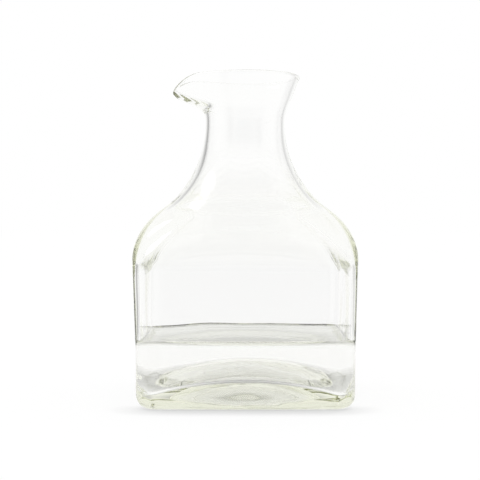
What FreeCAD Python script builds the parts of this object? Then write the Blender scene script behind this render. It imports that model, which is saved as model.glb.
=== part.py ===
import FreeCAD, Part
import math
import os
import re
import Sketcher
from FreeCAD import Vector

# A square-bodied glass carafe with a round neck and a pulled pouring lip, a quarter full of white wine.
# The origin is at the centre of the foot, +Z is up and the lip pours towards -X.

doc = FreeCAD.newDocument("carafe")

# Driving dimensions, in millimetres and degrees.
driving = {
    "bodyWidth": (115.4, "across the sides, where the shoulder starts"),
    "bodyDraft": (1.4, "how much further in each side stands at the foot"),
    "bodyHeight": (75, "foot to the start of the shoulder"),
    "bodyCorner": (11, "radius of the upright corners"),
    "sideBow": (2, "half the angle that a bowed side turns through"),
    "shoulderRise": (72, "start of the shoulder to the narrowest part of the neck"),
    "shoulderBend": (33, "radius where the side turns into the shoulder"),
    "shoulderSweep": (1.97, "steepest lean of the shoulder over the mean lean"),
    "shoulderSink": (6, "how much lower the shoulder starts on the inside, where the glass is thick"),
    "neckWidth": (43.4, "outside diameter at the narrowest part"),
    "neckStraight": (0.5, "upright stretch above the narrowest part"),
    "mouthBend": (22, "radius where the neck turns into the mouth"),
    "mouthLean": (22, "angle of the flared mouth"),
    "mouthRise": (25.7, "narrowest part of the neck to the rim"),
    "bodyWall": (3, "glass in the sides"),
    "neckWall": (2.4, "glass in the neck and the mouth"),
    "footRound": (7, "radius under the sides"),
    "footRing": (6.3, "from the round under the sides to the hollow under the foot"),
    "kickRise": (11, "depth of the hollow under the foot"),
    "kickRound": (4, "radius round the hollow"),
    "floorTop": (21, "foot to the crown of the domed floor"),
    "floorDrop": (8.3, "how much lower the domed floor lies at the sides"),
    "floorRound": (5.5, "radius round the floor"),
    "lipInset": (0.5, "how far the lip's round part lies inside the round mouth"),
    "spoutStart": (5.1, "narrowest part of the neck to the start of the lip"),
    "spoutSwell": (10.5, "height over which the lip swells out"),
    "spoutReach": (12.5, "how far the lip stands out of the round mouth"),
    "lipRoot": (55, "angle from the lip's middle to where its flanks leave the round mouth"),
    "lipTip": (47, "half the angle that the tip of the lip turns through"),
    "spoutFloor": (3.3, "upright thickness of the glass under the lip"),
    "spoutDroop": (17.2, "radius of the rim where it turns down into the lip"),
    "droopTurn": (39.5, "angle from the lip's middle to where the rim starts to turn down"),
    "rimRound": (1, "radius of the fire-polished rim"),
    "wineLevel": (34.3, "foot to the surface of the wine"),
    "wineGap": (0.15, "clearance between the wine and the glass"),
}

sizes = doc.addObject("Spreadsheet::Sheet", "Sizes")
for row, (name, (size, note)) in enumerate(driving.items(), start=1):
    sizes.set(f"A{row}", name)
    sizes.set(f"B{row}", str(size))
    sizes.set(f"C{row}", note)
    sizes.setAlias(f"B{row}", name)
derived = doc.addObject("App::VarSet", "Derived")
doc.recompute()


def linked(formula):
    """The formula with each name led back to the object that holds its value."""
    def owner(match):
        name = match.group(0)
        if name in driving:
            return "Sizes." + name
        return "Derived." + name if name in derived.PropertiesList else name
    return re.sub(r"[A-Za-z]\w*", owner, formula)


def derive(name, formula, target=derived):
    """Adds a named value that is worked out from the driving dimensions."""
    target.addProperty("App::PropertyFloat", name, "Derived")
    target.setExpression(name, linked(formula))
    target.recompute()
    return name


def bind(target, path, formula):
    target.setExpression(path, linked(formula))


def newBody(label):
    body = doc.addObject("PartDesign::Body", label)
    body.Label = label
    body.Placement = FreeCAD.Placement()
    return body


def newSketch(body, name, role, height=None):
    """A sketch on one of the body's own origin planes, lifted to a height where one is given."""
    sketch = body.newObject("Sketcher::SketchObject", name)
    plane = next(feature for feature in body.Origin.OriginFeatures if feature.Role == role)
    sketch.AttachmentSupport = [(plane, "")]
    sketch.MapMode = "FlatFace"
    if height:
        bind(sketch, "AttachmentOffset.Base.z", height)
    return sketch


def dimension(sketch, kind, where, name, formula):
    """A driving constraint that follows a formula."""
    value = sketch.evalExpression(linked(formula))
    index = sketch.addConstraint(Sketcher.Constraint(kind, *where, float(value)))
    sketch.renameConstraint(index, name)
    bind(sketch, f"Constraints.{name}", formula)


def addFeature(body, kind, name, sketches, **settings):
    """A sketch-based feature. Its first sketch is the profile, and any others are a loft's sections."""
    feature = body.newObject(f"PartDesign::{kind}", name)
    feature.Profile = sketches[0]
    if len(sketches) > 1:
        feature.Sections = sketches[1:]
    for setting, value in settings.items():
        setattr(feature, setting, value)
    doc.recompute()
    return feature


# ---- sections of the vessel ----

ORIGIN, AXIS_X, AXIS_Y = -1, -1, -2  # a sketch's own origin and axes
START, END, CENTRE = 1, 2, 3  # a geometry's points
TOUCH = 0.01  # how near two places are when they count as one
ROUND_BOW = 22.5  # an eighth of a circle is this much each side of its middle
SAMPLES = 9  # places along an edge that are looked at
LIP_SHARES = (0, 0.2, 0.4, 0.6, 0.8, 1, 1.3, 1.7)  # the lip's sections, in heights over which it swells out


def squareSection(body, name, height, halfWidth, corner, bow):
    """Eight tangent arcs: four bowed sides and four corners. A circle is the same section with one radius."""
    sketch = newSketch(body, name, "XY_Plane", height)
    derive("halfWidth", halfWidth, sketch)
    derive("corner", corner, sketch)
    derive("bow", bow, sketch)
    derive("side", "(halfWidth - corner * (cos(bow) - sin(bow))) / (1 - cos(bow) + sin(bow))", sketch)
    derive("jointOut", "halfWidth - side * (1 - cos(bow))", sketch)
    derive("jointAcross", "side * sin(bow)", sketch)
    derive("cornerCentre", "(side - corner) * sin(bow)", sketch)
    for quarter in range(4):
        turn = FreeCAD.Rotation(Vector(0, 0, 1), 90 * quarter)
        sideCentre = turn.multVec(Vector(sketch.halfWidth - sketch.side, 0, 0))
        cornerCentre = turn.multVec(Vector(sketch.cornerCentre, sketch.cornerCentre, 0))
        for centre, radius, first, last in (
            (sideCentre, sketch.side, -sketch.bow, sketch.bow),
            (cornerCentre, sketch.corner, sketch.bow, 90 - sketch.bow),
        ):
            circle = Part.Circle(centre, Vector(0, 0, 1), radius)
            angles = [FreeCAD.Units.Quantity(f"{90 * quarter + angle} deg").getValueAs("rad").Value
                      for angle in (first, last)]
            sketch.addGeometry(Part.ArcOfCircle(circle, *angles))
    for arc in range(8):
        sketch.addConstraint(Sketcher.Constraint("Coincident", arc, END, (arc + 1) % 8, START))
    # The first quarter carries the sizes, and the other joints mirror its two.
    dimension(sketch, "DistanceX", (ORIGIN, START, 0, END), "sideX", "jointOut")
    dimension(sketch, "DistanceY", (ORIGIN, START, 0, END), "sideY", "jointAcross")
    dimension(sketch, "DistanceX", (ORIGIN, START, 1, END), "cornerX", "jointAcross")
    dimension(sketch, "DistanceY", (ORIGIN, START, 1, END), "cornerY", "jointOut")
    for arc, mirrored, axis in ((1, 2, AXIS_Y), (0, 3, AXIS_Y), (3, 4, AXIS_X),
                                (2, 5, AXIS_X), (5, 6, AXIS_Y), (0, 7, AXIS_X)):
        sketch.addConstraint(Sketcher.Constraint("Symmetric", arc, END, mirrored, END, axis))
    dimension(sketch, "Radius", (0,), "sideRadius", "side")
    dimension(sketch, "Radius", (1,), "cornerRadius", "corner")
    for arc in range(2, 8):
        sketch.addConstraint(Sketcher.Constraint("Equal", arc % 2, arc))
    return sketch


def lipSection(body, name, height, radius, reach):
    """A round mouth drawn out towards -X: a wide arc, two flanks and a tip, all tangent. It is a circle where
    the reach is the radius."""
    sketch = newSketch(body, name, "XY_Plane", height)
    derive("radius", radius, sketch)
    derive("reach", reach, sketch)
    derive("drawn", "(reach - radius) / (1 - cos(lipRoot) - sin(lipRoot) * tan(lipTip / 2))", sketch)
    derive("tipRadius", "radius + drawn * (1 - sin(lipRoot) / sin(lipTip))", sketch)
    root, tip = (sketch.evalExpression(linked(f"{angle} * pi / 180")) for angle in ("lipRoot", "lipTip"))
    up = Vector(0, 0, 1)
    mouth = Part.Circle(Vector(0, 0, 0), up, sketch.radius)
    point = Part.Circle(Vector(sketch.tipRadius - sketch.reach, 0, 0), up, sketch.tipRadius)
    side = math.cos(root) * sketch.drawn, math.sin(root) * sketch.drawn
    flanks = [Part.Circle(Vector(side[0], way * side[1], 0), up, sketch.radius + sketch.drawn) for way in (-1, 1)]
    sketch.addGeometry([
        Part.ArcOfCircle(mouth, math.pi + root, 3 * math.pi - root),
        Part.ArcOfCircle(flanks[0], math.pi - root, math.pi - tip),
        Part.ArcOfCircle(point, math.pi - tip, math.pi + tip),
        Part.ArcOfCircle(flanks[1], math.pi + tip, math.pi + root),
    ])
    for edge in range(4):
        sketch.addConstraint(Sketcher.Constraint("Coincident", edge, END, (edge + 1) % 4, START))
    sketch.addConstraint(Sketcher.Constraint("Coincident", 0, CENTRE, ORIGIN, START))
    sketch.addConstraint(Sketcher.Constraint("PointOnObject", 2, CENTRE, AXIS_X))
    dimension(sketch, "Radius", (0,), "mouthRadius", "radius")
    dimension(sketch, "Radius", (1,), "flankRadius", "radius + drawn")
    dimension(sketch, "Radius", (2,), "tipArc", "tipRadius")
    sketch.addConstraint(Sketcher.Constraint("Equal", 1, 3))
    dimension(sketch, "DistanceX", (2, CENTRE, ORIGIN, START), "tipCentre", "reach - tipRadius")
    dimension(sketch, "DistanceY", (ORIGIN, START, 0, END), "rootLeft", "radius * sin(lipRoot)")
    dimension(sketch, "DistanceY", (0, START, ORIGIN, START), "rootRight", "radius * sin(lipRoot)")
    dimension(sketch, "DistanceY", (ORIGIN, START, 2, START), "tipLeft", "tipRadius * sin(lipTip)")
    dimension(sketch, "DistanceY", (2, END, ORIGIN, START), "tipRight", "tipRadius * sin(lipTip)")
    return sketch


# ---- the vessel's form, drawn outside, inside and round the wine ----

def nameSides(kind, wall, sink):
    """The sides of a form that lies inside the outer one by a wall and whose shoulder starts lower by a sink."""
    derive(f"half{kind}", f"bodyWidth / 2 - {wall}")
    derive(f"corner{kind}", f"bodyCorner - {wall}")
    derive(f"start{kind}", f"bodyHeight - {sink}")


def nameNeck(kind, neckWall):
    """The shoulder and the mouth of such a form."""
    derive(f"neck{kind}", f"neckWidth / 2 - {neckWall}")
    derive(f"inward{kind}", f"half{kind} - neck{kind}")
    derive(f"rise{kind}", f"bodyHeight + shoulderRise - start{kind}")
    derive(f"lean{kind}", f"shoulderSweep * atan(inward{kind} / rise{kind}) / 1 deg")
    derive(f"waist{kind}", f"(rise{kind} * sin(lean{kind}) - inward{kind} * cos(lean{kind}))"
                           f" / (1 - cos(lean{kind})) - shoulderBend")
    derive(f"bend{kind}Mouth", f"mouthBend + {neckWall}")


def shoulderStations(kind):
    """Half width and height down the shoulder: an arc, a straight stretch and an arc the other way."""
    shares = (0, 0.1, 0.4, 0.7, 1)  # the second keeps the ends upright
    for share in shares:
        turn = f"(lean{kind} * {share})"
        yield f"half{kind} - shoulderBend * (1 - cos{turn})", f"start{kind} + shoulderBend * sin{turn}"
    for share in reversed(shares):
        turn = f"(lean{kind} * {share})"
        yield (f"neck{kind} + waist{kind} * (1 - cos{turn})",
               f"bodyHeight + shoulderRise - waist{kind} * sin{turn}")


def addBase(body, kind):
    """The upright part of the sides, past the floor."""
    halfWidth = f"half{kind} - bodyDraft"
    foot = squareSection(body, f"{kind}Foot", "0", halfWidth, f"corner{kind}", "sideBow")
    base = addFeature(body, "Pad", f"{kind}Base", [foot])
    bind(base, "Length", "baseTop")
    doc.recompute()
    return base


def addSides(body, kind, top):
    """Above the base the sides lean out a little."""
    sections = []
    for end, height in (("Low", "baseTop"), ("High", top)):
        halfWidth = f"half{kind} - bodyDraft * (start{kind} - {height}) / (start{kind} - baseTop)"
        sections.append(squareSection(body, f"{kind}{end}", height, halfWidth, f"corner{kind}", "sideBow"))
    return addFeature(body, "AdditiveLoft", f"{kind}Sides", sections)


def addShoulder(body, kind):
    """The sections grow round as they grow narrow."""
    sections = []
    for number, (halfWidth, height) in enumerate(shoulderStations(kind)):
        name = f"{kind}Shoulder{number}"
        share = f"((half{kind} - ({halfWidth})) / inward{kind})"
        corner = f"({halfWidth}) * (corner{kind} / half{kind} * (1 - {share}) + {share})"
        bow = f"sideBow + ({ROUND_BOW} - sideBow) * {share}"
        sections.append(squareSection(body, name, height, halfWidth, corner, bow))
    return addFeature(body, "AdditiveLoft", f"{kind}ShoulderLoft", sections)


def mouthSection(body, kind, overrun):
    """Half the round mouth: the upright neck, an arc that turns it outwards and the straight flare."""
    sketch = newSketch(body, f"{kind}MouthSection", "XZ_Plane")
    derive("foot", "bodyHeight + shoulderRise", sketch)
    derive("neck", f"neck{kind}", sketch)
    derive("top", f"foot + mouthRise + {overrun}", sketch)
    derive("bend", f"bend{kind}Mouth", sketch)
    derive("turned", "foot + neckStraight + bend * sin(mouthLean)", sketch)
    derive("flared", "neck + bend * (1 - cos(mouthLean))", sketch)
    derive("edge", "flared + (top - turned) * tan(mouthLean)", sketch)
    bendStart = sketch.foot + sizes.neckStraight
    corners = [Vector(sketch.edge, sketch.top, 0), Vector(0, sketch.top, 0), Vector(0, sketch.foot, 0),
               Vector(sketch.neck, sketch.foot, 0), Vector(sketch.neck, bendStart, 0)]
    for first, last in zip(corners, corners[1:]):
        sketch.addGeometry(Part.LineSegment(first, last))
    turned = Vector(sketch.flared, sketch.turned, 0)
    sketch.addGeometry(Part.LineSegment(turned, corners[0]))
    circle = Part.Circle(Vector(sketch.neck + sketch.bend, bendStart, 0), Vector(0, 0, 1), sketch.bend)
    sketch.addGeometry(Part.ArcOfCircle(circle, math.pi * (1 - sizes.mouthLean / 180), math.pi))
    for edge in range(3):
        sketch.addConstraint(Sketcher.Constraint("Coincident", edge, END, edge + 1, START))
    sketch.addConstraint(Sketcher.Constraint("Coincident", 4, END, 0, START))
    sketch.addConstraint(Sketcher.Constraint("Coincident", 5, START, 4, START))
    sketch.addConstraint(Sketcher.Constraint("Coincident", 3, END, 5, END))
    for edge, way in enumerate(("Horizontal", "Vertical", "Horizontal", "Vertical")):
        sketch.addConstraint(Sketcher.Constraint(way, edge))
    sketch.addConstraint(Sketcher.Constraint("PointOnObject", 1, START, AXIS_Y))
    dimension(sketch, "DistanceY", (ORIGIN, START, 1, END), "footHeight", "foot")
    dimension(sketch, "DistanceY", (ORIGIN, START, 1, START), "topHeight", "top")
    dimension(sketch, "DistanceX", (ORIGIN, START, 2, END), "neckRadius", "neck")
    dimension(sketch, "DistanceY", (2, END, 3, END), "straight", "neckStraight")
    dimension(sketch, "DistanceX", (ORIGIN, START, 4, START), "flareStart", "flared")
    dimension(sketch, "DistanceY", (ORIGIN, START, 4, START), "flareHeight", "turned")
    dimension(sketch, "DistanceX", (ORIGIN, START, 0, START), "edgeRadius", "edge")
    dimension(sketch, "Radius", (5,), "bendRadius", "bend")
    return sketch


def addMouth(body, kind, lift, overrun):
    """The round mouth, then the lip that swells out of it. The lip's floor is lifted inside the glass."""
    profile = mouthSection(body, kind, overrun)
    addFeature(body, "Revolution", f"{kind}Mouth", [profile], ReferenceAxis=(profile, ["V_Axis"]), Angle=360)
    top = f"(mouthRise + {overrun})"
    sections = []
    for number, share in enumerate(LIP_SHARES):
        height = top if share == LIP_SHARES[-1] else f"(spoutStart + {lift} + spoutSwell * {share})"
        swell = min(share, 1)
        flare = f"({height} - neckStraight - bend{kind}Mouth * sin(mouthLean)) * tan(mouthLean)"
        radius = f"neck{kind} + bend{kind}Mouth * (1 - cos(mouthLean)) + {flare} - lipInset"
        reach = f"{radius} + spoutReach * {swell ** 2 * (3 - 2 * swell)} + lipInset * {swell}"
        where = f"bodyHeight + shoulderRise + {height}"
        sections.append(lipSection(body, f"{kind}Lip{number}", where, radius, reach))
    return addFeature(body, "AdditiveLoft", f"{kind}LipLoft", sections)


def capSection(body, name, base, crown, radius):
    """Half the section of a spherical cap, from the upright axis out to where the cap meets its base."""
    sketch = newSketch(body, name, "XZ_Plane")
    derive("base", base, sketch)
    derive("crown", crown, sketch)
    derive("cap", radius, sketch)
    derive("reach", "sqrt(cap ^ 2 - (cap - crown + base) ^ 2)", sketch)
    centre = Vector(0, sketch.crown - sketch.cap, 0)
    foot, rim, top = Vector(0, sketch.base, 0), Vector(sketch.reach, sketch.base, 0), Vector(0, sketch.crown, 0)
    circle = Part.Circle(centre, Vector(0, 0, 1), sketch.cap)
    arc = Part.ArcOfCircle(circle, math.atan2(rim.y - centre.y, rim.x), math.pi / 2)
    sketch.addGeometry([Part.LineSegment(foot, rim), arc, Part.LineSegment(top, foot)])
    for edge in range(3):
        sketch.addConstraint(Sketcher.Constraint("Coincident", edge, END, (edge + 1) % 3, START))
    sketch.addConstraint(Sketcher.Constraint("Horizontal", 0))
    sketch.addConstraint(Sketcher.Constraint("PointOnObject", 0, START, AXIS_Y))
    sketch.addConstraint(Sketcher.Constraint("PointOnObject", 1, END, AXIS_Y))
    sketch.addConstraint(Sketcher.Constraint("PointOnObject", 1, CENTRE, AXIS_Y))
    dimension(sketch, "DistanceY", (ORIGIN, START, 0, START), "baseHeight", "base")
    dimension(sketch, "DistanceY", (ORIGIN, START, 1, END), "crownHeight", "crown")
    dimension(sketch, "Radius", (1,), "capRadius", "cap")
    return sketch


def cutCap(body, name, base, crown, radius):
    """Turns a cap's section about the upright axis and takes it out of the body."""
    before = body.Shape.Volume
    sketch = capSection(body, f"{name}Section", base, crown, radius)
    groove = addFeature(body, "Groove", name, [sketch], ReferenceAxis=(sketch, ["V_Axis"]), Angle=360)
    if not body.Shape.Volume < before:
        raise RuntimeError(f"{name} cuts nothing")
    return groove


def roundEdges(body, name, base, radius, chosen):
    """A fillet on the base feature's edges for which the test holds."""
    edges = [f"Edge{number}" for number, edge in enumerate(base.Shape.Edges, start=1) if chosen(edge)]
    fillet = body.newObject("PartDesign::Fillet", name)
    fillet.Base = (base, edges)
    bind(fillet, "Radius", radius)
    doc.recompute()
    return fillet


def liesWithin(low, high):
    """Tests that an edge keeps between two heights."""
    return lambda edge: low <= edge.BoundBox.ZMin and edge.BoundBox.ZMax <= high


# ---- the room inside, which the glass is cut by ----

derive("baseTop", "floorTop + floorRound")  # the sides are upright up to here
derive("floorReach", "bodyWidth / 2 - bodyDraft - bodyWall")
derive("floorRadius", "(floorReach ^ 2 + floorDrop ^ 2) / (2 * floorDrop)")


def makeRoom():
    body = newBody("room")
    nameSides("Inside", "bodyWall", "shoulderSink")
    nameNeck("Inside", "neckWall")
    addBase(body, "Inside")
    floor = cutCap(body, "Floor", "-footRound", "floorTop", "floorRadius")
    roundEdges(body, "FloorRound", floor, "floorRound", liesWithin(0, sizes.floorTop))
    addSides(body, "Inside", "startInside")
    addShoulder(body, "Inside")
    addMouth(body, "Inside", "spoutFloor", "bodyWall")
    return body


# ---- the glass ----

def cutKick(body):
    """The hollow that is pushed up under the foot, with a soft edge."""
    derive("kickReach", "bodyWidth / 2 - bodyDraft - footRound - footRing")
    kick = cutCap(body, "Kick", "0", "kickRise", "(kickReach ^ 2 + kickRise ^ 2) / (2 * kickRise)")
    atFoot = liesWithin(-TOUCH, TOUCH)
    roundEdges(body, "KickRound", kick, "kickRound",
               lambda edge: atFoot(edge) and abs(edge.BoundBox.XMax - derived.kickReach) < TOUCH)


def droopSection(body):
    """What is cleared above the lip: all that lies outside the arc that turns the rim down."""
    sketch = newSketch(body, "DroopSection", "XZ_Plane")
    derive("rim", "bodyHeight + shoulderRise + mouthRise", sketch)
    derive("outer", "droopStart + spoutDroop + spoutReach", sketch)
    start, radius = derived.droopStart, sizes.spoutDroop
    spare = sizes.mouthBend
    corners = [Vector(-start, sketch.rim, 0), Vector(-start, sketch.rim + spare, 0),
               Vector(-sketch.outer, sketch.rim + spare, 0), Vector(-sketch.outer, sketch.rim - radius, 0),
               Vector(-start - radius, sketch.rim - radius, 0)]
    for first, last in zip(corners, corners[1:]):
        sketch.addGeometry(Part.LineSegment(first, last))
    circle = Part.Circle(Vector(-start, sketch.rim - radius, 0), Vector(0, 0, 1), radius)
    sketch.addGeometry(Part.ArcOfCircle(circle, math.pi / 2, math.pi))
    for edge in range(3):
        sketch.addConstraint(Sketcher.Constraint("Coincident", edge, END, edge + 1, START))
    sketch.addConstraint(Sketcher.Constraint("Coincident", 3, END, 4, END))
    sketch.addConstraint(Sketcher.Constraint("Coincident", 0, START, 4, START))
    for edge, way in enumerate(("Vertical", "Horizontal", "Vertical", "Horizontal")):
        sketch.addConstraint(Sketcher.Constraint(way, edge))
    sketch.addConstraint(Sketcher.Constraint("Vertical", 4, CENTRE, 4, START))
    sketch.addConstraint(Sketcher.Constraint("Horizontal", 4, CENTRE, 4, END))
    dimension(sketch, "DistanceX", (0, START, ORIGIN, START), "start", "droopStart")
    dimension(sketch, "DistanceY", (ORIGIN, START, 0, START), "rimHeight", "rim")
    dimension(sketch, "DistanceY", (0, START, 0, END), "above", "mouthBend")
    dimension(sketch, "DistanceX", (1, END, ORIGIN, START), "beyond", "outer")
    dimension(sketch, "Radius", (4,), "droop", "spoutDroop")
    return sketch


def roundRim(body, droop):
    """Softens both edges of the rim, along its flat part and down round the droop."""
    rim = sizes.bodyHeight + sizes.shoulderRise + sizes.mouthRise
    axle = Vector(-derived.droopStart, 0, rim - sizes.spoutDroop)

    def onRim(edge):
        if edge.Degenerated:
            return False
        for point in edge.discretize(SAMPLES):
            away = math.hypot(point.x - axle.x, point.z - axle.z) - sizes.spoutDroop
            flat = point.x >= axle.x - TOUCH and abs(point.z - rim) < TOUCH
            if not flat and (point.x > axle.x or abs(away) > TOUCH):
                return False
        return edge.BoundBox.XLength > TOUCH

    roundEdges(body, "RimRound", droop, "rimRound", onRim)


def makeGlass(room):
    body = newBody("carafe_glass")
    nameSides("Outside", "0", "0")
    nameNeck("Outside", "0")
    base = addBase(body, "Outside")
    roundEdges(body, "FootRound", base, "footRound", liesWithin(-TOUCH, TOUCH))
    cutKick(body)
    addSides(body, "Outside", "startOutside")
    addShoulder(body, "Outside")
    addMouth(body, "Outside", "0", "0")
    hollowed = body.newObject("PartDesign::Boolean", "Room")
    hollowed.Type = "Cut"
    hollowed.addObject(room)
    doc.recompute()
    full = body.Shape.Volume
    derive("mouthRadius", "neckOutside + bendOutsideMouth * (1 - cos(mouthLean))"
                          " + (mouthRise - neckStraight - bendOutsideMouth * sin(mouthLean)) * tan(mouthLean)")
    derive("droopStart", "mouthRadius * cos(droopTurn)")
    droop = addFeature(body, "Pocket", "Droop", [droopSection(body)], Midplane=True)
    bind(droop, "Length", "bodyWidth")
    doc.recompute()
    if not body.Shape.Volume < full:
        raise RuntimeError("Droop cuts nothing")
    roundRim(body, droop)
    return body


# ---- the wine, up to its level ----

def makeWine():
    body = newBody("wine")
    nameSides("Wine", "(bodyWall + wineGap)", "shoulderSink")
    addBase(body, "Wine")
    bed = cutCap(body, "WineBed", "-footRound", "floorTop + wineGap", "floorRadius + wineGap")
    roundEdges(body, "WineRound", bed, "floorRound - wineGap", liesWithin(0, sizes.floorTop))
    addSides(body, "Wine", "wineLevel")
    return body


room = makeRoom()
glass = makeGlass(room)
wine = makeWine()
doc.recompute()

for thing in doc.Objects:
    if {"Invalid", "Error"} & set(thing.State):
        raise RuntimeError(f"{thing.Name} is {thing.State}")
for body in (room, glass, wine):
    if body.Shape.isNull() or not body.Shape.isValid() or len(body.Shape.Solids) != 1:
        raise RuntimeError(f"{body.Label} is not one sound solid")

os.makedirs("parts", exist_ok=True)
for body in (glass, wine):
    body.Shape.exportStep(f"parts/{body.Label}.step")
    print(f"{body.Label}: {body.Shape.Volume / 1000:.1f} cm3, {len(body.Shape.Faces)} faces")
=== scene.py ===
import math

import bmesh
import bpy
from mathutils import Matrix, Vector, noise


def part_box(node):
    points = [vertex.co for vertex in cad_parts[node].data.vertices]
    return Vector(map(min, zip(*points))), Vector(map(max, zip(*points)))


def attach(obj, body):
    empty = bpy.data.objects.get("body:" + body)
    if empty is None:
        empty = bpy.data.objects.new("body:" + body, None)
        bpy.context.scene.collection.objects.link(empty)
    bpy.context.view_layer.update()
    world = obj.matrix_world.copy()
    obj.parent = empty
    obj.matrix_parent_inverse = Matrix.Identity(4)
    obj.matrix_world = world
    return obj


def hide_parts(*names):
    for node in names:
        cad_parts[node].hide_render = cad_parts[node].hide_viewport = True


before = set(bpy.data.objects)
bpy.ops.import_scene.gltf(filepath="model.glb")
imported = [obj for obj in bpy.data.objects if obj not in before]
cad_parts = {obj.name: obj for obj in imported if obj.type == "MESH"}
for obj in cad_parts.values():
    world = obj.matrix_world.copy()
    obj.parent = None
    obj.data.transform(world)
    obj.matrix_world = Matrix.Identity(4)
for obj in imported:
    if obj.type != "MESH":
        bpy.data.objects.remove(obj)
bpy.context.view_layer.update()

mm = 0.001

glassHigh = Vector(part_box("carafe_glass")[1])
wineHigh = Vector(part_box("wine")[1])

form = {  # the form that the glass and the wine share, in millimetres and degrees
    "corner": 11.0,  # radius of the upright corners
    "bow": 2.0,  # half the angle that a side turns through
    "roundBow": 22.5,  # the same on a circle
    "draft": 1.4,  # how much narrower each side stands at the foot than at the shoulder
    "bodyHeight": 75.0,  # where the shoulder starts
    "shoulderSink": 6.0,  # how much lower it starts on the inside
    "shoulderRise": 72.0,
    "shoulderBend": 33.0,
    "shoulderSweep": 1.97,  # how far the shoulder leans over, against a straight line to the neck
    "neckWidth": 43.4,
    "neckStraight": 0.5,
    "mouthBend": 22.0,
    "mouthLean": 22.0,
    "bodyWall": 3.0,
    "neckWall": 2.4,
    "footRound": 7.0,
    "footRing": 6.3,  # flat ring between the round foot and the hollow
    "kickRise": 11.0,
    "kickRound": 4.0,
    "floorTop": 21.0,
    "floorDrop": 8.3,  # how far the domed floor falls from its middle to the sides
    "floorRound": 5.5,
    "lipStart": 5.1,
    "lipSwell": 10.5,
    "lipReach": 12.5,
    "lipRoot": 55.0,
    "lipTip": 47.0,
    "lipFloor": 3.3,
    "lipGather": 1.8,  # how closely the columns gather towards the tip of the lip
    "droopRadius": 17.2,
    "droopTurn": 39.5,  # angle from the lip's middle to where the rim starts to turn down
}
form["halfWidth"] = glassHigh.x / mm
form["rim"] = glassHigh.z / mm
form["level"] = wineHigh.z / mm
form["neckHeight"] = form["bodyHeight"] + form["shoulderRise"]
form["baseTop"] = form["floorTop"] + form["floorRound"]  # the sides are upright up to here
floorReach = form["halfWidth"] - form["draft"] - form["bodyWall"]
form["floorRadius"] = (floorReach ** 2 + form["floorDrop"] ** 2) / (2 * form["floorDrop"])

columns = 184  # corners of every ring, an eighth of them on each side and each corner
eighth = columns // 8
ringsOver = {  # how finely each stretch of the outline is drawn
    "hollow": 20,
    "hollowEdge": 8,
    "foot": 16,
    "side": 16,
    "shoulder": 28,
    "slope": 12,
    "neck": 32,
    "mouth": 80,
    "rim": 11,
    "floorEdge": 18,
    "floor": 24,
    "wineEdge": 6,
    "wineTop": 6,
}


def sizesAt(depth, neckDepth):  # the same form, further in by a wall
    return {
        "half": form["halfWidth"] - depth,
        "corner": form["corner"] - depth,
        "bend": form["shoulderBend"],
        "neck": form["neckWidth"] / 2 - neckDepth,
        "start": form["bodyHeight"] - (form["shoulderSink"] if depth else 0),
        "mouthBend": form["mouthBend"] + neckDepth,
    }


def squarePoint(half, corner, bow, column):  # on a bowed square; column 0 is mid-side, under the lip
    turn, arc = divmod(column + eighth / 2, 2 * eighth)
    angle = math.radians(bow)
    side = (half - corner * (math.cos(angle) - math.sin(angle))) / (1 - math.cos(angle) + math.sin(angle))
    centre = (side - corner) * math.sin(angle)
    if arc < eighth:
        out = angle * (arc / (eighth / 2) - 1)
        x, y = half - side + side * math.cos(out), side * math.sin(out)
    else:
        out = angle + (math.pi / 2 - 2 * angle) * (arc / eighth - 1)
        x, y = centre + corner * math.cos(out), centre + corner * math.sin(out)
    quarter = math.pi + turn * math.pi / 2
    return x * math.cos(quarter) - y * math.sin(quarter), x * math.sin(quarter) + y * math.cos(quarter)


def lipRadius(radius, reach, away):  # how far out the mouth lies: tip, flank and round part, all tangent
    root, tip = math.radians(form["lipRoot"]), math.radians(form["lipTip"])
    drawn = (reach - radius) / (1 - math.cos(root) - math.sin(root) * math.tan(tip / 2))
    if away >= root or drawn < 1e-6:
        return radius
    tipRadius = radius + drawn * (1 - math.sin(root) / math.sin(tip))
    tipCentre = reach - tipRadius
    if away <= math.atan2(tipRadius * math.sin(tip), tipCentre + tipRadius * math.cos(tip)):
        return tipCentre * math.cos(away) + math.sqrt(tipRadius ** 2 - (tipCentre * math.sin(away)) ** 2)
    lean = drawn * math.cos(root - away)
    return math.sqrt(lean ** 2 - drawn ** 2 + (radius + drawn) ** 2) - lean


def smooth(share):
    share = min(max(share, 0.0), 1.0)
    return share * share * (3 - 2 * share)


def spread(low, high, count):  # evenly spaced values, both ends among them
    return [low + (high - low) * step / (count - 1) for step in range(count)]


def squareRing(half, corner, height, bow=form["bow"]):
    return lambda column: (*squarePoint(half, corner, bow, column), height)


def sideHalf(sizes, height):  # the sides stand a little narrower towards the foot
    leaned = (sizes["start"] - max(height, form["baseTop"])) / (sizes["start"] - form["baseTop"])
    return sizes["half"] - form["draft"] * leaned


def sideRing(sizes, height):
    return squareRing(sideHalf(sizes, height), sizes["corner"], height)


def scaledRing(ring, share, heightAt):  # the same ring drawn in towards the axis, at the height of a dome
    def place(column):
        x, y, _ = ring(column)
        x, y = x * share, y * share
        return x, y, heightAt(math.hypot(x, y))
    return place


def blendRing(first, last, share):
    return lambda column: tuple(a + (b - a) * share for a, b in zip(first(column), last(column)))


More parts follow.
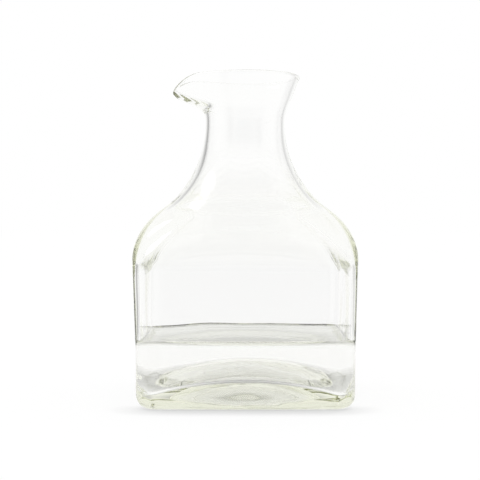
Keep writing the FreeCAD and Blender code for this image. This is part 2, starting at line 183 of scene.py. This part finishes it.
def shoulderRings(sizes):  # an arc, a straight stretch and an arc the other way, rounder as they narrow
    rise, inward = form["neckHeight"] - sizes["start"], sizes["half"] - sizes["neck"]
    lean = form["shoulderSweep"] * math.atan(inward / rise)
    both = (rise * math.sin(lean) - inward * math.cos(lean)) / (1 - math.cos(lean))
    waist = both - sizes["bend"]
    outline = []
    for turn in spread(0, lean, ringsOver["shoulder"]):
        outline.append((sizes["half"] - sizes["bend"] * (1 - math.cos(turn)),
                        sizes["start"] + sizes["bend"] * math.sin(turn)))
    last = (sizes["neck"] + waist * (1 - math.cos(lean)), form["neckHeight"] - waist * math.sin(lean))
    start = outline[-1]
    for share in spread(0, 1, ringsOver["slope"])[1:-1]:
        outline.append((start[0] + (last[0] - start[0]) * share, start[1] + (last[1] - start[1]) * share))
    for turn in spread(lean, 0, ringsOver["neck"]):
        outline.append((sizes["neck"] + waist * (1 - math.cos(turn)),
                        form["neckHeight"] - waist * math.sin(turn)))
    rings = []
    for half, height in outline:
        share = (sizes["half"] - half) / inward
        corner = half * (sizes["corner"] / sizes["half"] * (1 - share) + share)
        bow = form["bow"] + (form["roundBow"] - form["bow"]) * share
        rings.append(squareRing(half, corner, height, bow))
    return rings


def mouthRadius(sizes, above):  # the round mouth, at a height above the narrowest part of the neck
    lean = math.radians(form["mouthLean"])
    bendTop = sizes["mouthBend"] * math.sin(lean)
    turned = min(max(above - form["neckStraight"], 0), bendTop)
    radius = sizes["neck"] + sizes["mouthBend"] - math.sqrt(sizes["mouthBend"] ** 2 - turned ** 2)
    return radius + max(above - form["neckStraight"] - bendTop, 0) * math.tan(lean)


def mouthPoint(sizes, lift, column, height):  # on the flared mouth with its lip
    above = height - form["neckHeight"]
    radius = mouthRadius(sizes, above)
    reach = radius + form["lipReach"] * smooth((above - form["lipStart"] - lift) / form["lipSwell"])
    share = min(column, columns - column) / (columns / 2)
    gathered = smooth(above / (form["lipStart"] + form["lipSwell"]))
    away = math.pi * (share * (1 - gathered) + share ** form["lipGather"] * gathered)
    out = lipRadius(radius, reach, away)
    way = -1 if column < columns / 2 else 1
    return -out * math.cos(away), way * out * math.sin(away), height


rimRadius = mouthRadius(sizesAt(0, 0), form["rim"] - form["neckHeight"])
droopStart = rimRadius * math.cos(math.radians(form["droopTurn"]))


def rimHeight(sizes, lift, column, top):  # where the mouth meets the arc that turns the rim down into the lip
    low, high = form["neckHeight"], top
    for _ in range(30):  # halves the gap each time, to far below a micrometre
        middle = (low + high) / 2
        beyond = -mouthPoint(sizes, lift, column, middle)[0] - droopStart
        droop = 0 if beyond <= 0 else form["droopRadius"]
        if 0 < beyond < form["droopRadius"]:
            droop -= math.sqrt(form["droopRadius"] ** 2 - beyond ** 2)
        if middle < top - droop:
            low = middle
        else:
            high = middle
    return low


def mouthRings(sizes, lift, top):
    tops = [rimHeight(sizes, lift, column, top) for column in range(columns)]

    def ring(share):
        def place(column):
            height = form["neckHeight"] + (tops[column % columns] - form["neckHeight"]) * share
            return mouthPoint(sizes, lift, column, height)
        return place
    return [ring(share) for share in spread(0, 1, ringsOver["mouth"])[1:]]


def domeHeight(radius, crown, around):
    return crown - around + math.sqrt(around ** 2 - radius ** 2)


def floorRings(sizes, grow=0.0):  # down round the corner of the floor, then in over the dome
    bend = form["floorRound"] + grow
    around = form["floorRadius"] - grow
    half = sideHalf(sizes, form["floorTop"])

    def floorAt(radius):
        return domeHeight(radius, form["floorTop"] - grow, around)

    def corner(turn):
        inset = bend * (1 - math.cos(turn))
        flat = squareRing(half - inset, sizes["corner"] - inset, 0)

        def place(column):
            x, y, _ = flat(column)
            return x, y, floorAt(math.hypot(x, y)) + bend * (1 - math.sin(turn))
        return place

    inner = corner(math.pi / 2)
    rings = [corner(turn) for turn in spread(0, math.pi / 2, ringsOver["floorEdge"])]
    return rings + [scaledRing(inner, share, floorAt) for share in spread(1, 0, ringsOver["floor"])[1:]]


def turnToMesh(name, rings, uneven=None):  # spins one corner per ring round the axis, then places each corner
    bm = bmesh.new()
    station = bm.verts.layers.int.new("station")
    chain = []
    for number in range(len(rings)):
        pole = number in (0, len(rings) - 1)
        vert = bm.verts.new((0 if pole else -1, 0, number))
        vert[station] = number
        chain.append(vert)
    edges = [bm.edges.new(pair) for pair in zip(chain, chain[1:])]
    bmesh.ops.spin(bm, geom=chain + edges, cent=(0, 0, 0), axis=(0, 0, 1), dvec=(0, 0, 0),
                   angle=math.tau, steps=columns, use_merge=True, use_duplicate=False)
    for vert in bm.verts:
        turned = math.atan2(vert.co.y, vert.co.x) - math.pi
        column = round(turned / math.tau * columns) % columns
        vert.co = Vector(rings[vert[station]](column)) * mm
    bmesh.ops.remove_doubles(bm, verts=bm.verts, dist=1e-6)
    bmesh.ops.recalc_face_normals(bm, faces=bm.faces)
    bm.normal_update()
    if uneven:
        moves = [(vert, uneven(vert, vert[station])) for vert in bm.verts]
        for vert, move in moves:
            vert.co += vert.normal * move
        bm.normal_update()
    mesh = bpy.data.meshes.new(name)
    bm.to_mesh(mesh)
    bm.free()
    mesh.polygons.foreach_set("use_smooth", [True] * len(mesh.polygons))
    piece = bpy.data.objects.new(name, mesh)
    bpy.context.scene.collection.objects.link(piece)
    return piece


def linear(hexColour):  # an sRGB hex value as the renderer's own linear colour
    parts = [int(hexColour[place:place + 2], 16) / 255 for place in (1, 3, 5)]
    return (*(part / 12.92 if part <= 0.04045 else ((part + 0.055) / 1.055) ** 2.4 for part in parts), 1)


def addNode(tree, kind, settings=None, links=None):  # a link names an input and the output that feeds it
    node = tree.nodes.new(kind)
    for name, value in (settings or {}).items():
        if isinstance(name, str) and hasattr(node, name):
            setattr(node, name, value)
        else:
            node.inputs[name].default_value = value
    for name, output in (links or {}).items():
        tree.links.new(output, node.inputs[name])
    return node


def newMaterial(name):
    material = bpy.data.materials.new(name)
    material.use_nodes = True
    material.node_tree.nodes.clear()
    return material, material.node_tree


def letLampsThrough(tree, surface, tint):  # lamps shine through it as through real glass, for a light shadow
    path = addNode(tree, "ShaderNodeLightPath")
    clear = addNode(tree, "ShaderNodeBsdfTransparent", {"Color": linear(tint)})
    return addNode(tree, "ShaderNodeMixShader", None,
                   {0: path.outputs["Is Shadow Ray"], 1: surface.outputs[0], 2: clear.outputs[0]})


glass = {  # millimetres, and what the light does in it
    "outerWave": 0.35,  # how much the outside dips
    "outerWaveLength": 45.0,
    "innerWave": 0.3,  # how much the inside wanders
    "innerWaveLength": 28.0,
    "innerShift": (7, 3, 5),  # so that the inside doesn't follow the outside
    "footRipple": 0.12,  # short ripples where the mould chilled the glass, under the floor
    "footRippleLength": 6.0,
    "footFlat": 1.5,  # the ripples come in over this height, so that it stands flat
    "cornerRipple": 3.0,  # how much stronger they are round the foot's corners
    "cornerStart": 0.75,  # share of the half width where they start to grow
    "cornerEnd": 1.5,  # radii of the round foot up to where they stop
    "rimCrown": 1.0,  # height of the rounded rim over half its width
    "rimInset": 1.36,  # how far below the top that rounded edge starts
    "rimStill": 4.0,  # the rim is fire-polished, so the waves end this far below it
    "index": 1.5,
    "tint": "#e6e8ce",
    "tintDensity": 8.0,
    "shadowTint": "#f4f6f3",
    "grain": 14.0,  # length of the faint waves that only bend the light
    "grainHeight": 0.4,
    "grainStrength": 0.05,
}


def kickRings(sizes):  # from the middle of the hollow out over the flat ring and up round the foot
    half, rise = form["halfWidth"] - form["draft"] - form["footRound"] - form["footRing"], form["kickRise"]
    around = (half ** 2 + rise ** 2) / (2 * rise)
    steep = math.asin(half / around)
    bend = form["kickRound"]
    flat = half + bend * math.tan(steep / 2)
    footHalf, footCorner = sideHalf(sizes, 0) - form["footRound"], sizes["corner"] - form["footRound"]
    foot = squareRing(footHalf, footCorner, 0)

    def circle(radius, height):
        def place(column):
            x, y, _ = foot(column)
            away = math.hypot(x, y)
            return x / away * radius, y / away * radius, height
        return place

    start = flat - bend * math.sin(steep)
    rings = []
    for share in spread(0, 1, ringsOver["hollow"]):
        rings.append(circle(start * share, domeHeight(start * share, rise, around)))
    for turn in spread(steep, 0, ringsOver["hollowEdge"])[1:]:
        rings.append(circle(flat - bend * math.sin(turn), bend * (1 - math.cos(turn))))
    rings += [blendRing(rings[-1], foot, share) for share in (0.35, 0.7)]
    for turn in spread(0, math.pi / 2, ringsOver["foot"]):
        grown = form["footRound"] * math.sin(turn)
        height = form["footRound"] * (1 - math.cos(turn))
        rings.append(squareRing(footHalf + grown, footCorner + grown, height))
    return rings


def rimRings(outer, inner, under):  # a rounded edge from the outer to the inner ring, standing up from under
    def ring(turn):
        def place(column):
            out, into, below = (Vector(edge(column)) for edge in (outer, inner, under))
            middle, across = (out + into) / 2, (out - into) / 2
            up = out - below
            up = (up - across.normalized() * up.dot(across.normalized())).normalized()
            crown = across.length * glass["rimCrown"]
            return tuple(middle + across * math.cos(turn) + up * (crown * math.sin(turn)))
        return place
    return [ring(turn) for turn in spread(0, math.pi, ringsOver["rim"])]


def sodaGlass():  # soda-lime glass blown into a mould: clear, glossy, a little wavy, olive where it is thick
    material, tree = newMaterial("Soda-lime glass")
    where = addNode(tree, "ShaderNodeTexCoord")
    grain = addNode(tree, "ShaderNodeTexNoise",
                    {"Scale": 1 / (glass["grain"] * mm), "Detail": 2.0, "Roughness": 0.4},
                    {"Vector": where.outputs["Object"]})
    bump = addNode(tree, "ShaderNodeBump",
                   {"Strength": glass["grainStrength"], "Distance": glass["grainHeight"] * mm},
                   {"Height": grain.outputs[0]})
    body = addNode(tree, "ShaderNodeBsdfPrincipled",
                   {"Base Color": linear("#ffffff"), "Roughness": 0.0, "IOR": glass["index"],
                    "Transmission Weight": 1.0}, {"Normal": bump.outputs[0]})
    mix = letLampsThrough(tree, body, glass["shadowTint"])
    depth = addNode(tree, "ShaderNodeVolumeAbsorption",
                    {"Color": linear(glass["tint"]), "Density": glass["tintDensity"]})
    addNode(tree, "ShaderNodeOutputMaterial", None, {"Surface": mix.outputs[0], "Volume": depth.outputs[0]})
    return material


def buildGlass():
    outside, inside = sizesAt(0, 0), sizesAt(form["bodyWall"], form["neckWall"])
    top = form["rim"] - glass["rimInset"]
    rings = kickRings(outside)
    sides = spread(form["footRound"], outside["start"], ringsOver["side"])[1:-1]
    rings += [sideRing(outside, height) for height in sides]
    rings += shoulderRings(outside)
    outerMouth = mouthRings(outside, 0, top)
    innerMouth = mouthRings(inside, form["lipFloor"], top)
    rings += outerMouth[:-1]
    rings += rimRings(outerMouth[-1], innerMouth[-1], outerMouth[-6])
    skin = len(rings) - (ringsOver["rim"] + 1) // 2  # the rings before this one are the outer skin
    rings += list(reversed(innerMouth[:-1]))
    rings += list(reversed(shoulderRings(inside)))
    floor = floorRings(inside)
    side = sideRing(inside, inside["start"])
    rings += [blendRing(side, floor[0], share) for share in spread(0, 1, ringsOver["side"])[1:-1]]
    rings += floor

    def uneven(vert, station):
        place = vert.co / mm
        still = smooth((form["rim"] - place.z) / glass["rimStill"])
        outwards = math.hypot(place.x, place.y) / form["halfWidth"]
        corner = smooth((outwards - glass["cornerStart"]) / (1 - glass["cornerStart"]))
        corner *= smooth(glass["cornerEnd"] - place.z / form["footRound"])
        ripple = glass["footRipple"] * noise.noise(place / glass["footRippleLength"])
        ripple *= smooth((form["level"] - place.z) / form["floorTop"]) * (1 + glass["cornerRipple"] * corner)
        if station < skin:
            rise = smooth(place.z / form["footRound"])
            wave = noise.noise(place / glass["outerWaveLength"])
            dip = glass["outerWave"] * (0.5 + 0.5 * wave) * rise
            return (-dip * still - abs(ripple) * smooth(place.z / glass["footFlat"])) * mm
        wave = noise.noise(place / glass["innerWaveLength"] + Vector(glass["innerShift"]))
        return (glass["innerWave"] * wave * still + ripple) * mm

    piece = turnToMesh("carafe", rings, uneven)
    piece.data.materials.append(sodaGlass())
    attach(piece, "root")
    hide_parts("carafe_glass")


wine = {  # millimetres, and what the light does in it
    "grow": 0.6,  # how far it reaches into the wall, past the waves of the inner skin
    "meniscusRise": 0.7,  # how high it climbs the glass
    "meniscusWidth": 1.2,
    "meniscusSteps": (0.6, 0.9, 1.2, 1.6, 2.1, 2.7, 3.5, 4.5, 6.0),  # in from the side, closest at the glass
    "paintedSurfaceShade": 0.18,  # painted shade: share of grey-olive diffuse mixed into the flat top, over the depth and in the colour below, darkening the band seen at the surface
    "paintedShadeDepth": 0.25,
    "paintedShadeColour": "#8c8d76",
    "index": 1.344,
    "tint": "#f3f3e0",
    "tintDensity": 0.6,
    "shadowTint": "#fafaf2",
}
wine["level"] = form["level"] - wine["meniscusRise"] / 2  # the flat middle, below the climb at the glass


def whiteWine():  # young dry white wine: clear and still, with a faint green-gold tint in depth
    material, tree = newMaterial("White wine")
    body = addNode(tree, "ShaderNodeBsdfPrincipled",
                   {"Base Color": linear("#ffffff"), "Roughness": 0.0, "IOR": wine["index"],
                    "Transmission Weight": 1.0})
    # painted shade: the wine's flat top is partly a grey-olive diffuse layer, darkening the band seen at its
    # surface
    where = addNode(tree, "ShaderNodeTexCoord")
    parts = addNode(tree, "ShaderNodeSeparateXYZ", None, {0: where.outputs["Object"]})
    flat = addNode(tree, "ShaderNodeMath",
                   {"operation": "COMPARE", 1: wine["level"] * mm, 2: wine["paintedShadeDepth"] * mm},
                   {0: parts.outputs["Z"]})
    share = addNode(tree, "ShaderNodeMath", {"operation": "MULTIPLY", 1: wine["paintedSurfaceShade"]}, {0: flat.outputs[0]})
    paintedSurfaceShade = addNode(tree, "ShaderNodeBsdfDiffuse", {"Color": linear(wine["paintedShadeColour"])})
    body = addNode(tree, "ShaderNodeMixShader", None,
                   {0: share.outputs[0], 1: body.outputs[0], 2: paintedSurfaceShade.outputs[0]})
    mix = letLampsThrough(tree, body, wine["shadowTint"])
    depth = addNode(tree, "ShaderNodeVolumeAbsorption",
                    {"Color": linear(wine["tint"]), "Density": wine["tintDensity"]})
    addNode(tree, "ShaderNodeOutputMaterial", None, {"Surface": mix.outputs[0], "Volume": depth.outputs[0]})
    return material


def buildWine():
    inside = sizesAt(form["bodyWall"] - wine["grow"], form["neckWall"])
    level = wine["level"]
    rings = list(reversed(floorRings(inside, wine["grow"])))
    half = sideHalf(inside, level)
    top = squareRing(half, inside["corner"], level + wine["meniscusRise"])
    rings += [blendRing(rings[-1], top, share) for share in spread(0, 1, ringsOver["wineEdge"])[1:]]
    for inset in wine["meniscusSteps"]:
        climb = wine["meniscusRise"] * math.exp(-(inset - wine["grow"]) / wine["meniscusWidth"])
        rings.append(squareRing(half - inset, inside["corner"] - inset, level + climb))
    flat = rings[-1]
    shares = spread(1, 0, ringsOver["wineTop"])[1:]
    rings += [scaledRing(flat, share, lambda radius: level) for share in shares]
    piece = turnToMesh("white_wine", rings)
    piece.data.materials.append(whiteWine())
    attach(piece, "root")
    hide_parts("wine")


studio = {  # metres
    "floorColour": "#5a5a5a",
    "floorSize": 40.0,  # so large that its far edge meets the backdrop at eye level
    "floorLift": 0.91,  # what the floor gives off itself, which makes it white
    "contactReach": 0.018,  # how far out the dark line goes where the foot meets the floor
    "contactDepth": 0.58,
    "contactFront": (0.035, 0.06),  # distance in front of the axis over which that line comes in
    "skyLight": 0.9,  # how the backdrop lights the floor
    "frontDrop": 0.4,  # how much darker the room is in front of the carafe than behind it
    "leftFlag": 0.6,  # how dark the flags are that draw the edges of the glass
    "rightFlag": 0.3,
    "flagSharpness": 8.0,
    "flagTop": (0.35, 0.49),  # sine of the angle above the floor over which the flags end
    "flagStart": (0.2, 0.4),  # distance from the axis over which the floor turns dark under the flags
    "paintedShadowLift": 0.3,  # painted shadow: what the floor gives off below the carafe, as seen through it, lower than beside it
    "paintedShadowReach": (0.035, 0.06),  # distance from the axis over which the painted shadow brightens
    "lampPlace": (-0.9, 0.3, 1.6),
    "lampSize": 0.8,
    "lampPower": 2.0,
    "bounces": 64,  # so many that light gets out of the thick wall again
}


def flagDarkness(tree, across, along):  # flags on the four diagonals, darker on the left, and a dim front
    product = addNode(tree, "ShaderNodeMath", {"operation": "MULTIPLY"}, {0: across, 1: along})
    twice = addNode(tree, "ShaderNodeMath", {"operation": "MULTIPLY", 1: 2.0}, {0: product.outputs[0]})
    size = addNode(tree, "ShaderNodeMath", {"operation": "ABSOLUTE"}, {0: twice.outputs[0]})
    acrossSquare = addNode(tree, "ShaderNodeMath", {"operation": "MULTIPLY"}, {0: across, 1: across})
    bothSquares = addNode(tree, "ShaderNodeMath", {"operation": "MULTIPLY_ADD"},
                          {0: along, 1: along, 2: acrossSquare.outputs[0]})
    ratio = addNode(tree, "ShaderNodeMath", {"operation": "DIVIDE"},
                    {0: size.outputs[0], 1: bothSquares.outputs[0]})
    band = addNode(tree, "ShaderNodeMath", {"operation": "POWER", 1: studio["flagSharpness"]},
                   {0: ratio.outputs[0]})
    left = addNode(tree, "ShaderNodeMath", {"operation": "LESS_THAN", 1: 0.0}, {0: across})
    depth = addNode(tree, "ShaderNodeMapRange", {"To Min": studio["rightFlag"], "To Max": studio["leftFlag"]},
                    {"Value": left.outputs[0]})
    flags = addNode(tree, "ShaderNodeMath", {"operation": "MULTIPLY"},
                    {0: band.outputs[0], 1: depth.outputs[0]})
    towards = addNode(tree, "ShaderNodeMath", {"operation": "MINIMUM", 1: 0.0}, {0: along})
    front = addNode(tree, "ShaderNodeMath", {"operation": "MULTIPLY"}, {0: towards.outputs[0], 1: along})
    front = addNode(tree, "ShaderNodeMath", {"operation": "DIVIDE"},
                    {0: front.outputs[0], 1: bothSquares.outputs[0]})
    front = addNode(tree, "ShaderNodeMath", {"operation": "MULTIPLY", 1: studio["frontDrop"]},
                    {0: front.outputs[0]})
    return addNode(tree, "ShaderNodeMath", {"operation": "MAXIMUM"},
                   {0: flags.outputs[0], 1: front.outputs[0]})


def seenInGlass(tree, path):  # only what shows in or through the glass is darkened, not what lights it
    return addNode(tree, "ShaderNodeMath", {"operation": "MAXIMUM"},
                   {0: path.outputs["Is Glossy Ray"], 1: path.outputs["Is Transmission Ray"]})


def buildBackdrop():
    world = bpy.data.worlds.new("Studio")
    world.use_nodes = True
    tree = world.node_tree
    tree.nodes.clear()
    where = addNode(tree, "ShaderNodeTexCoord")
    parts = addNode(tree, "ShaderNodeSeparateXYZ", None, {0: where.outputs["Generated"]})
    dark = flagDarkness(tree, parts.outputs["X"], parts.outputs["Y"])
    path = addNode(tree, "ShaderNodeLightPath")
    seen = seenInGlass(tree, path)
    low = addNode(tree, "ShaderNodeMapRange",
                  {"From Min": studio["flagTop"][0], "From Max": studio["flagTop"][1],
                   "To Min": 1.0, "To Max": 0.0}, {"Value": parts.outputs["Z"]})
    dark = addNode(tree, "ShaderNodeMath", {"operation": "MULTIPLY"},
                   {0: dark.outputs[0], 1: low.outputs[0]})
    drop = addNode(tree, "ShaderNodeMath", {"operation": "MULTIPLY"},
                   {0: dark.outputs[0], 1: seen.outputs[0]})
    shown = addNode(tree, "ShaderNodeMath", {"operation": "MAXIMUM"},
                    {0: seen.outputs[0], 1: path.outputs["Is Camera Ray"]})
    level = addNode(tree, "ShaderNodeMapRange", {"To Min": studio["skyLight"], "To Max": 1.0},
                    {"Value": shown.outputs[0]})
    strength = addNode(tree, "ShaderNodeMath", {"operation": "SUBTRACT"},
                       {0: level.outputs[0], 1: drop.outputs[0]})
    back = addNode(tree, "ShaderNodeBackground", {"Color": (1, 1, 1, 1)}, {"Strength": strength.outputs[0]})
    addNode(tree, "ShaderNodeOutputWorld", None, {"Surface": back.outputs[0]})
    bpy.context.scene.world = world


def whiteSweep():  # matt paper sweep: plain and pale, with a soft shade where the foot meets it
    material, tree = newMaterial("White sweep")
    where = addNode(tree, "ShaderNodeTexCoord")
    parts = addNode(tree, "ShaderNodeSeparateXYZ", None, {0: where.outputs["Object"]})
    dark = flagDarkness(tree, parts.outputs["X"], parts.outputs["Y"])
    away = addNode(tree, "ShaderNodeVectorMath", {"operation": "LENGTH"}, {0: where.outputs["Object"]})
    begun = addNode(tree, "ShaderNodeMapRange",
                    {"From Min": studio["flagStart"][0], "From Max": studio["flagStart"][1]},
                    {"Value": away.outputs["Value"]})
    path = addNode(tree, "ShaderNodeLightPath")
    seen = seenInGlass(tree, path)
    drop = addNode(tree, "ShaderNodeMath", {"operation": "MULTIPLY"},
                   {0: dark.outputs[0], 1: seen.outputs[0]})
    drop = addNode(tree, "ShaderNodeMath", {"operation": "MULTIPLY"},
                   {0: drop.outputs[0], 1: begun.outputs[0]})
    # painted shadow: as seen in and through the glass, the floor gives off less below the carafe
    paintedUnderShadow = addNode(tree, "ShaderNodeMapRange",
                   {"From Min": studio["paintedShadowReach"][0], "From Max": studio["paintedShadowReach"][1],
                    "To Min": studio["paintedShadowLift"], "To Max": studio["floorLift"]},
                   {"Value": away.outputs["Value"]})
    through = addNode(tree, "ShaderNodeMath", {"operation": "MULTIPLY"},
                      {0: paintedUnderShadow.outputs[0], 1: seen.outputs[0]})
    touch = addNode(tree, "ShaderNodeAmbientOcclusion", {"samples": 8, "Distance": studio["contactReach"]})
    shaded = addNode(tree, "ShaderNodeMapRange",
                     {"From Min": -studio["contactFront"][0], "From Max": -studio["contactFront"][1],
                      "To Min": 0.0, "To Max": studio["floorLift"] * studio["contactDepth"]},
                     {"Value": parts.outputs["Y"]})
    hidden = addNode(tree, "ShaderNodeMath", {"operation": "SUBTRACT", 0: 1.0}, {1: touch.outputs["AO"]})
    shade = addNode(tree, "ShaderNodeMath", {"operation": "MULTIPLY"},
                    {0: hidden.outputs[0], 1: shaded.outputs[0]})
    contact = addNode(tree, "ShaderNodeMath", {"operation": "SUBTRACT", 0: studio["floorLift"]},
                      {1: shade.outputs[0]})
    lift = addNode(tree, "ShaderNodeMath", {"operation": "MULTIPLY_ADD"},
                   {0: path.outputs["Is Camera Ray"], 1: contact.outputs[0], 2: through.outputs[0]})
    paper = addNode(tree, "ShaderNodeBsdfDiffuse", {"Color": linear(studio["floorColour"])})
    glow = addNode(tree, "ShaderNodeEmission", {"Color": (1, 1, 1, 1)}, {"Strength": lift.outputs[0]})
    both = addNode(tree, "ShaderNodeAddShader", None, {0: paper.outputs[0], 1: glow.outputs[0]})
    flag = addNode(tree, "ShaderNodeBsdfTransparent", {"Color": (0, 0, 0, 1)})
    mixed = addNode(tree, "ShaderNodeMixShader", None,
                    {0: drop.outputs[0], 1: both.outputs[0], 2: flag.outputs[0]})
    addNode(tree, "ShaderNodeOutputMaterial", None, {"Surface": mixed.outputs[0]})
    return material


def buildFloor():
    bm = bmesh.new()
    bmesh.ops.create_grid(bm, x_segments=1, y_segments=1, size=studio["floorSize"] / 2)
    mesh = bpy.data.meshes.new("floor")
    bm.to_mesh(mesh)
    bm.free()
    floor = bpy.data.objects.new("floor", mesh)
    bpy.context.scene.collection.objects.link(floor)
    floor.data.materials.append(whiteSweep())


def buildSoftbox():
    lamp = bpy.data.lights.new("overhead softbox", "AREA")
    lamp.shape = "DISK"
    lamp.size = studio["lampSize"]
    lamp.energy = studio["lampPower"]
    holder = bpy.data.objects.new("overhead softbox", lamp)
    holder.location = studio["lampPlace"]
    aim = Vector((0, 0, form["rim"] / 2 * mm)) - Vector(studio["lampPlace"])
    holder.rotation_euler = aim.to_track_quat("-Z", "Y").to_euler()
    bpy.context.scene.collection.objects.link(holder)


viewpoint = {
    "lens": 86.8,  # millimetres
    "sensor": 36,
    "place": (-0.0027, -0.627, 0.0905),  # metres
    "dip": 0.57,  # degrees below level
}


def buildCamera():
    camera = bpy.data.cameras.new("camera")
    camera.lens = viewpoint["lens"]
    camera.sensor_width = viewpoint["sensor"]
    holder = bpy.data.objects.new("camera", camera)
    holder.location = viewpoint["place"]
    holder.rotation_euler = (math.radians(90 - viewpoint["dip"]), 0, 0)
    bpy.context.scene.collection.objects.link(holder)
    bpy.context.scene.camera = holder


buildGlass()
print("carafe blown")
buildWine()
print("wine poured")
buildBackdrop()
buildFloor()
buildSoftbox()
buildCamera()
scene = bpy.context.scene
scene.view_settings.view_transform = "Standard"
scene.cycles.max_bounces = studio["bounces"]
scene.cycles.transmission_bounces = studio["bounces"]
scene.cycles.glossy_bounces = studio["bounces"]
print("studio lit")
